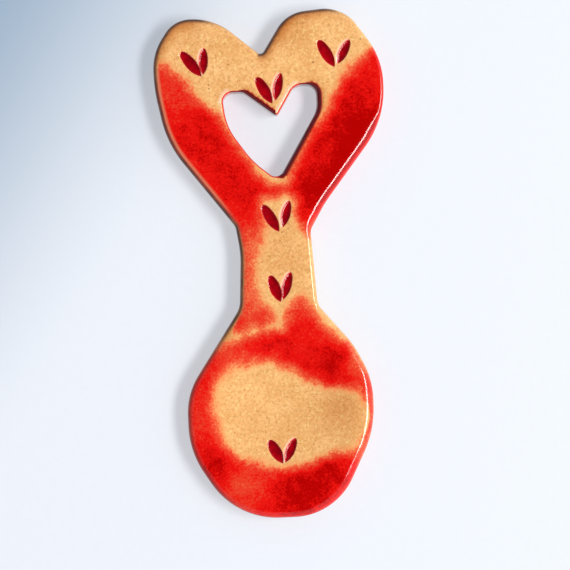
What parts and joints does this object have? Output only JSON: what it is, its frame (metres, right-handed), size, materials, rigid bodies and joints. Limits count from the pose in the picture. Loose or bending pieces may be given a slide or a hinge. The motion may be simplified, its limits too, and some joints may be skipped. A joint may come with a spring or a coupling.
{
  "type": "welsh love spoon",
  "caption": "Flat glazed stoneware love spoon with a pierced heart above a short neck and a shallow dished bowl, stamped with filled leaf marks.",
  "frame": {"origin": "middle of the rectangle round the spoon, on its flat back", "axes": "+Y from the bowl to the heart along the spoon's length, +Z out of the glazed front, +X to the right as the front is seen with the heart up"},
  "size_m": [0.0434, 0.0962, 0.0052],
  "materials": {
    "bare_clay": "matte fired buff stoneware, unglazed",
    "clear_glaze": "glossy clear glaze over speckled buff clay",
    "red_glaze": "glossy translucent red glaze, brushed and mottled",
    "dark_red_inlay": "glossy dark red glaze pooled in the stamped marks"
  },
  "bodies": {
    "root": {"clay_body": "bare_clay", "clear_glaze": "clear_glaze", "red_glaze_heart": "red_glaze", "red_glaze_bowl": "red_glaze", "leaf_inlay_left_lobe": "dark_red_inlay", "leaf_inlay_right_lobe": "dark_red_inlay", "leaf_inlay_above_opening": "dark_red_inlay", "leaf_inlay_upper_neck": "dark_red_inlay", "leaf_inlay_lower_neck": "dark_red_inlay", "leaf_inlay_bowl": "dark_red_inlay"}
  },
  "joints": []
}
